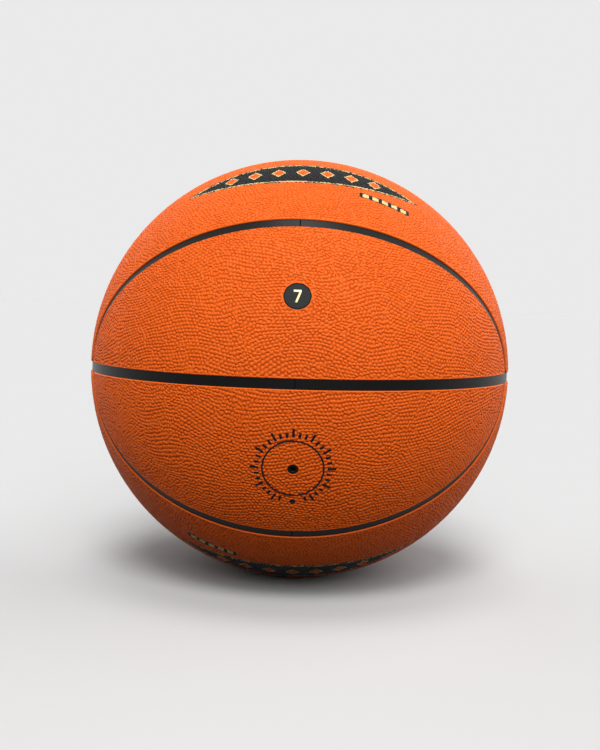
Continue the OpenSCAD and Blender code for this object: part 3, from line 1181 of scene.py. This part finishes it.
# The nylon's threads: their width and height in millimetres, how strongly they show, how they
# waver, the turns of their three layers, and the colours between them and on them
THREAD_MM = 0.45
THREAD_H = 0.2
THREAD_STRENGTH = 0.8
THREAD_WAVER = 0.6
THREAD_TURNS = ((1.0, 0.4, 0.2), (-0.3, 1.0, 0.5), (0.2, -0.5, 1.0))
THREAD_DARK, THREAD_PALE = "#8E8468", "#D8CFB4"
NYLON_ROUGH = 0.5
NYLON_IOR = 1.53


def cell_foam():
    """Closed-cell foam, cut from a sheet: cream and dull, with fine open cells on its skin."""
    material, tree = new_material("closed_cell_foam")
    coords = add(tree, "ShaderNodeTexCoord").node.outputs["Object"]
    cells = add(tree, "ShaderNodeTexVoronoi", {"Vector": coords, "Scale": 1 / (CELL_MM * MM)})
    feeds = {MIX_SHARE: cells, MIX_A: linear(CELL_DARK), MIX_B: linear(CELL_PALE)}
    shade = add(tree, MIX, feeds, data_type="RGBA")
    feeds = {"Height": cells, "Strength": CELL_STRENGTH, "Distance": CELL_H * MM}
    normal = add(tree, "ShaderNodeBump", feeds)
    feeds = {"Base Color": shade, "Roughness": FOAM_ROUGH, "Normal": normal}
    finished(tree, {**feeds, "Specular IOR Level": FOAM_GLOSS})
    return material


def wound_nylon():
    """Nylon thread in dried latex: pale straw threads that cross each other, with a soft shine."""
    material, tree = new_material("wound_nylon_thread")
    coords = add(tree, "ShaderNodeTexCoord").node.outputs["Object"]
    threads = None
    for turn in THREAD_TURNS:
        feeds = {"Vector": coords, "Rotation": turn}
        lean = add(tree, "ShaderNodeVectorRotate", feeds, rotation_type="EULER_XYZ")
        # The wave texture draws about three bands in a unit
        feeds = {"Vector": lean, "Scale": 1 / (THREAD_MM * MM) / 3}
        feeds |= {"Distortion": THREAD_WAVER, "Detail": 1.0}
        wave = add(tree, "ShaderNodeTexWave", feeds)
        threads = wave if threads is None else add(tree, MATH, (threads, wave), operation="MAXIMUM")
    feeds = {MIX_SHARE: threads, MIX_A: linear(THREAD_DARK), MIX_B: linear(THREAD_PALE)}
    shade = add(tree, MIX, feeds, data_type="RGBA")
    feeds = {"Height": threads, "Strength": THREAD_STRENGTH, "Distance": THREAD_H * MM}
    normal = add(tree, "ShaderNodeBump", feeds)
    feeds = {"Base Color": shade, "Roughness": NYLON_ROUGH, "Normal": normal, "IOR": NYLON_IOR}
    finished(tree, feeds)
    return material


# Roughness and metallic share of the badge's film and of its foil
BADGE_FILM = (0.6, 0.0)
BADGE_FOIL = (0.38, 0.3)
# The film's mottle: its size in millimetres, and how dark and how pale it gets
MOTTLE_MM = 0.8
MOTTLE_DARK, MOTTLE_PALE = 0.88, 1.1
# The film's orange peel: its size and height in millimetres, and how strongly it shows
PEEL_MM = 0.4
PEEL_H = 0.03
PEEL_STRENGTH = 0.1
FILM_IOR = 1.5


def transfer_film(name, shade, roughness, metallic, painted_gap_shade=None):
    """Printed transfer film under a clear coat: satin and faintly mottled, with a dark ring of
    painted shade if one is given.
    """
    material, tree = new_material(name)
    feeds = {"Value": grain(tree, MOTTLE_MM), "To Min": MOTTLE_DARK, "To Max": MOTTLE_PALE}
    mottle = add(tree, "ShaderNodeMapRange", feeds)
    # Outside the ring's radius the film is painted black, as shade in the gap round the badge
    if painted_gap_shade:
        middle, reach = painted_gap_shade
        coords = add(tree, "ShaderNodeTexCoord").node.outputs["Object"]
        apart = add(tree, VECTOR_MATH, (coords, middle), operation="DISTANCE")
        within = add(tree, MATH, (apart, reach), operation="LESS_THAN")
        mottle = add(tree, MATH, (mottle, within), operation="MULTIPLY")
    shade = add(tree, VECTOR_MATH, {0: linear(shade)[:3], "Scale": mottle}, operation="SCALE")
    feeds = {"Height": grain(tree, PEEL_MM), "Strength": PEEL_STRENGTH, "Distance": PEEL_H * MM}
    normal = add(tree, "ShaderNodeBump", feeds)
    feeds = {"Base Color": shade, "Roughness": roughness, "Metallic": metallic, "Normal": normal}
    finished(tree, {**feeds, "IOR": FILM_IOR, "Specular IOR Level": DULL})
    return material


def dress(node, material):
    """Gives a CAD node that stays as it is its material."""
    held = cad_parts[node].data.materials
    held.clear()
    held.append(material)


# Operators, one for each group of pieces


def settings_of(context):
    """The basketball's settings in this scene."""
    return context.scene.basketball


class AddCovers(bpy.types.Operator):
    """Add the eight pebbled cover panels"""

    bl_idname = "basketball.add_covers"
    bl_label = "Cover panels"
    bl_options = {"REGISTER", "UNDO"}

    def execute(self, context):
        settings = settings_of(context)
        plain = pebbled_composite("pebbled_composite", settings)
        dial = pebbled_composite("pebbled_composite_with_dial", settings, dial_marks)
        band = pebbled_composite("pebbled_composite_with_band", settings, band_marks)
        badge, valve = settings.badge, settings.valve
        pocket_r = settings.sizes.ball_r - badge.drop - badge.thickness
        middle = Plan(settings.sizes, True)
        # The panel's plan, its pocket, and the material, where these aren't the plain ones
        special = {
            "front_upper": (front_plan(settings, badge.lat, badge.disc_r), pocket_r, plain),
            "front_lower": (front_plan(settings, valve.lat, valve.stem_r), None, dial),
            "middle_front_upper": (middle, None, band),
            "middle_front_lower": (middle, None, band),
        }
        whole = front_plan(settings)
        for k, place in enumerate([prefix + q for prefix in ("", "middle_") for q in QUARTERS]):
            common = (middle if place.startswith("middle") else whole, None, plain)
            plan, pocket, material = special.get(place, common)
            shell = cover_shell(plan, settings.pebbles, settings.pebbles.seed + k, pocket)
            quarter = place.removeprefix("middle_")
            made = object_from_shell("panel_" + place, shell, quarter, material)
            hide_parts("cover_" + place)
        return {"FINISHED"}


class AddPads(bpy.types.Operator):
    """Add the foam pads under the cover panels"""

    bl_idname = "basketball.add_pads"
    bl_label = "Foam pads"
    bl_options = {"REGISTER", "UNDO"}

    def execute(self, context):
        settings = settings_of(context)
        foam = cell_foam()
        shells = {
            "": pad_shell(front_plan(settings)),
            "middle_": pad_shell(Plan(settings.sizes, True)),
        }
        holed = pad_shell(front_plan(settings, settings.valve.lat, settings.valve.stem_r))
        for prefix, whole in shells.items():
            for quarter in QUARTERS:
                place = prefix + quarter
                shell = holed if place == "front_lower" else whole
                made = object_from_shell("foam_" + place, shell, quarter, foam)
                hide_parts("pad_" + place)
        return {"FINISHED"}


class AddInnerLayers(bpy.types.Operator):
    """Add the thread winding, and finish the rubber carcass and the bladder"""

    bl_idname = "basketball.add_inner_layers"
    bl_label = "Carcass, winding and bladder"
    bl_options = {"REGISTER", "UNDO"}

    def execute(self, context):
        settings = settings_of(context)
        dress("carcass", moulded_rubber("moulded_carcass_rubber", seam=True))
        dress("bladder", moulded_rubber("moulded_butyl"))
        hole = settings.valve.stem_r + RUBBER_ROOM
        lean = math.asin(hole / WINDING_R)
        turns = np.linspace(math.pi, lean, WINDING_STEPS)
        arc = np.column_stack((np.sin(turns), np.cos(turns)))
        outer, inner = WINDING_R - RUBBER_ROOM, BLADDER_R + RUBBER_ROOM
        points = np.vstack((arc * outer, arc[::-1] * inner))
        lat, steps = -settings.valve.lat, 2 * WINDING_STEPS
        made = turned_object("thread_winding", points, lat, wound_nylon(), steps)
        places = np.empty(len(made.data.vertices) * 3, np.float32)
        made.data.vertices.foreach_get("co", places)
        places = wound(places.reshape(-1, 3).astype(float) / MM, settings.pebbles.seed) * MM
        made.data.vertices.foreach_set("co", places.astype(np.float32).ravel())
        made.data.update()
        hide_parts("winding")
        return {"FINISHED"}


class AddValve(bpy.types.Operator):
    """Add the valve's stem and its plug"""

    bl_idname = "basketball.add_valve"
    bl_label = "Valve"
    bl_options = {"REGISTER", "UNDO"}

    def execute(self, context):
        valve = settings_of(context).valve
        rubber = moulded_rubber("moulded_valve_rubber")
        for name, node, profile in (
            ("stem_with_flange", "valve_stem", stem_profile(valve)),
            ("needle_plug", "valve_plug", plug_profile(valve)),
        ):
            made = turned_object(name, rounded(profile), -valve.lat, rubber)
            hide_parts(node)
        return {"FINISHED"}


class AddBadge(bpy.types.Operator):
    """Add the size badge with its plain numeral"""

    bl_idname = "basketball.add_badge"
    bl_label = "Size badge"
    bl_options = {"REGISTER", "UNDO"}

    def execute(self, context):
        settings = settings_of(context)
        badge = settings.badge
        face_r = settings.sizes.ball_r - badge.drop
        # A dark ring of painted shade along the badge's edge, where its gap falls in shadow
        painted_gap_shade = direction(badge.lat) * face_r * MM, (badge.disc_r - badge.painted_gap_shade) * MM
        film = transfer_film("satin_badge_film", badge.disc, *BADGE_FILM, painted_gap_shade)
        foil = transfer_film("hot_stamped_foil", badge.figure, *BADGE_FOIL)
        disc = turned_object("badge_disc", rounded(badge_profile(badge, face_r)), badge.lat, film)
        shell = figure_shell(badge, front_plan(settings), face_r)
        figure = object_from_shell("badge_numeral", shell, "front_upper", foil)
        for made in (disc, figure):
            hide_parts("size_badge")
        return {"FINISHED"}


# The stage: what stands round the ball

# The camera's sensor and lens, in millimetres
SENSOR = 36
LENS = 54.9
# The picture's height in pixels, and the camera's shift sideways and upwards as shares of it
PICTURE_H = 750
SHIFT = (0.4 / PICTURE_H, -6.6 / PICTURE_H)
# Half of the floor's side, in metres
FLOOR_HALF = 12
# Share of its colour that the floor shows, which makes it as pale as the backdrop, and share of it
# that lights the ball
FLOOR_SIGHT = 0.71
FLOOR_BOUNCE = 0.03
# The floor's faint mottle: its size in millimetres, and how dark and how pale it gets
PAPER_MM = 60
PAPER_DARK, PAPER_PALE = 0.995, 1.005
# How strongly the backdrop lights the ball
AMBIENT = 0.01
# Lamps: elevation, azimuth from the front towards the right, width in degrees, and strength
LAMPS = {
    "key": (52, 0, 22, 1.5),
    "high": (86, 0, 24, 0.85),
    "front": (36, 6, 44, 1.85),
    "left": (34, -112, 90, 0.75),
    "right": (34, 108, 84, 1.5),
}


def pale_for_sight(tree, own, pale):
    """The pale colour where the camera, a gloss or a clear material sees it, and else its own."""
    path = add(tree, "ShaderNodeLightPath").node.outputs
    seen = add(tree, MATH, (path["Is Camera Ray"], path["Is Glossy Ray"]), operation="MAXIMUM")
    seen = add(tree, MATH, (seen, path["Is Transmission Ray"]), operation="MAXIMUM")
    return add(tree, MIX, {MIX_SHARE: seen, MIX_A: own, MIX_B: pale}, data_type="RGBA")


class AddStage(bpy.types.Operator):
    """Add the pale floor and backdrop, the studio lamps and the camera"""

    bl_idname = "basketball.add_stage"
    bl_label = "Stage"
    bl_options = {"REGISTER", "UNDO"}

    def execute(self, context):
        self.add_floor(settings_of(context).stage)
        self.add_backdrop(context, settings_of(context).stage)
        self.add_lamps(context)
        self.add_camera(context, settings_of(context))
        context.scene.view_settings.view_transform = "Standard"
        return {"FINISHED"}

    def add_floor(self, stage):
        """A wide matt floor under the ball, which takes its shadow."""
        material, tree = new_material("matt_studio_floor")
        shares = FLOOR_BOUNCE, FLOOR_SIGHT
        own, pale = ([c * share for c in linear(stage.pale)] for share in shares)
        feeds = {"Value": grain(tree, PAPER_MM), "To Min": PAPER_DARK, "To Max": PAPER_PALE}
        paper = add(tree, "ShaderNodeMapRange", feeds)
        shade = pale_for_sight(tree, own, pale)
        shade = add(tree, VECTOR_MATH, {0: shade, "Scale": paper}, operation="SCALE")
        finished(tree, {"Base Color": shade, "Roughness": 1.0, "Specular IOR Level": 0.0})
        corners = [
            (x * FLOOR_HALF, y * FLOOR_HALF, cad_bounds[0].z)
            for x, y in ((-1, -1), (1, -1), (1, 1), (-1, 1))
        ]
        mesh = bpy.data.meshes.new("floor")
        mesh.from_pydata(corners, [], [(0, 1, 2, 3)])
        mesh.materials.append(material)
        floor = bpy.data.objects.new("floor", mesh)
        bpy.context.scene.collection.objects.link(floor)

    def add_backdrop(self, context, stage):
        """A world that is pale to look at and lights the ball only a little."""
        world = bpy.data.worlds.new("studio")
        world.use_nodes = True
        tree = world.node_tree
        tree.nodes.clear()
        shade = pale_for_sight(tree, [AMBIENT] * 3 + [1], linear(stage.pale))
        sky = add(tree, "ShaderNodeBackground", {"Color": shade, "Strength": 1.0})
        add(tree, "ShaderNodeOutputWorld", {"Surface": sky})
        context.scene.world = world

    def add_lamps(self, context):
        """Wide soft lamps round the ball."""
        for name, (elevation, azimuth, width, strength) in LAMPS.items():
            lamp = bpy.data.lights.new(name, "SUN")
            lamp.energy = strength
            lamp.angle = math.radians(width)
            holder = bpy.data.objects.new(name, lamp)
            turn = Matrix.Rotation(math.radians(azimuth), 3, "Z")
            towards = turn @ Vector(direction(elevation))
            holder.rotation_mode = "QUATERNION"
            holder.rotation_quaternion = towards.to_track_quat("Z", "Y")
            holder.location = towards
            context.scene.collection.objects.link(holder)

    def add_camera(self, context, settings):
        """The camera at the photo's place and angle."""
        stage = settings.stage
        turn = (
            Matrix.Rotation(math.radians(stage.roll), 3, "Y")
            @ Matrix.Rotation(math.radians(stage.pitch), 3, "X")
            @ Matrix.Rotation(math.radians(stage.yaw), 3, "Z")
        )
        right, forward, up = turn
        camera = bpy.data.cameras.new("camera")
        camera.sensor_width = SENSOR
        camera.lens = LENS
        camera.shift_x, camera.shift_y = SHIFT
        holder = bpy.data.objects.new("camera", camera)
        placed = Matrix((right, up, -forward)).transposed().to_4x4()
        placed.translation = -forward * stage.distance * settings.sizes.ball_r * MM
        holder.matrix_world = placed
        context.scene.collection.objects.link(holder)
        context.scene.camera = holder


OPERATORS = (AddCovers, AddPads, AddInnerLayers, AddValve, AddBadge, AddStage)
GROUPS = (
    BallSizes,
    PebbleLook,
    CoverLook,
    PrintSizes,
    ValveSizes,
    BadgeSizes,
    StageLook,
    BasketballSettings,
)


class BasketballPanel(bpy.types.Panel):
    """Lists the basketball's settings and the operators that make its pieces"""

    bl_idname = "VIEW3D_PT_basketball"
    bl_label = "Basketball"
    bl_space_type = "VIEW_3D"
    bl_region_type = "UI"
    bl_category = "Basketball"

    def draw(self, context):
        settings = settings_of(context)
        for part in BasketballSettings.__annotations__:
            box = self.layout.box()
            group = getattr(settings, part)
            box.label(text=group.bl_rna.description)
            for name in type(group).__annotations__:
                box.prop(group, name)
        for operator in OPERATORS:
            self.layout.operator(operator.bl_idname)


def register():
    """Registers the settings, the operators and the panel."""
    for kind in (*GROUPS, *OPERATORS, BasketballPanel):
        bpy.utils.register_class(kind)
    bpy.types.Scene.basketball = PointerProperty(type=BasketballSettings)


def unregister():
    """Takes back what register did."""
    del bpy.types.Scene.basketball
    for kind in reversed((*GROUPS, *OPERATORS, BasketballPanel)):
        bpy.utils.unregister_class(kind)


def main():
    """Makes the whole scene."""
    register()
    for operator in OPERATORS:
        group, name = operator.bl_idname.split(".")
        getattr(getattr(bpy.ops, group), name)()


if __name__ == "__main__":
    main()
